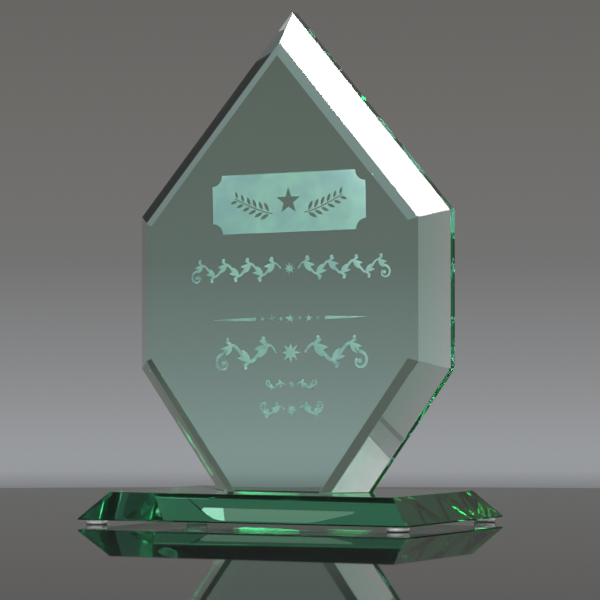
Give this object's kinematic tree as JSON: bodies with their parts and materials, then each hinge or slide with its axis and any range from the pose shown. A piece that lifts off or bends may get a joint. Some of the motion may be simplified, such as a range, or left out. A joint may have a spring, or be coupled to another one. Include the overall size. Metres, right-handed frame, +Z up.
{
  "type": "crystal award",
  "caption": "Free-standing jade glass award: a bevelled plaque pointed at the top, bonded upright on a bevelled rectangular glass base with clear bumper feet.",
  "frame": {"origin": "on the surface that the award stands on, under the middle of the base", "axes": "+Z up, +X along the base's long side to the viewer's right, the bevelled front faces -Y"},
  "size_m": [0.157, 0.106, 0.2261],
  "materials": {
    "plaque_glass": "polished, green-tinted, with satin etching on its flat back",
    "base_glass": "polished, green-tinted",
    "bond": "clear cured adhesive",
    "bumper": "clear polyurethane, slightly satin"
  },
  "bodies": {
    "root": {"plaque": "plaque_glass", "base": "base_glass", "uv_bond_film": "bond", "foot_front_left": "bumper", "foot_front_right": "bumper", "foot_back_left": "bumper", "foot_back_right": "bumper"}
  },
  "joints": []
}
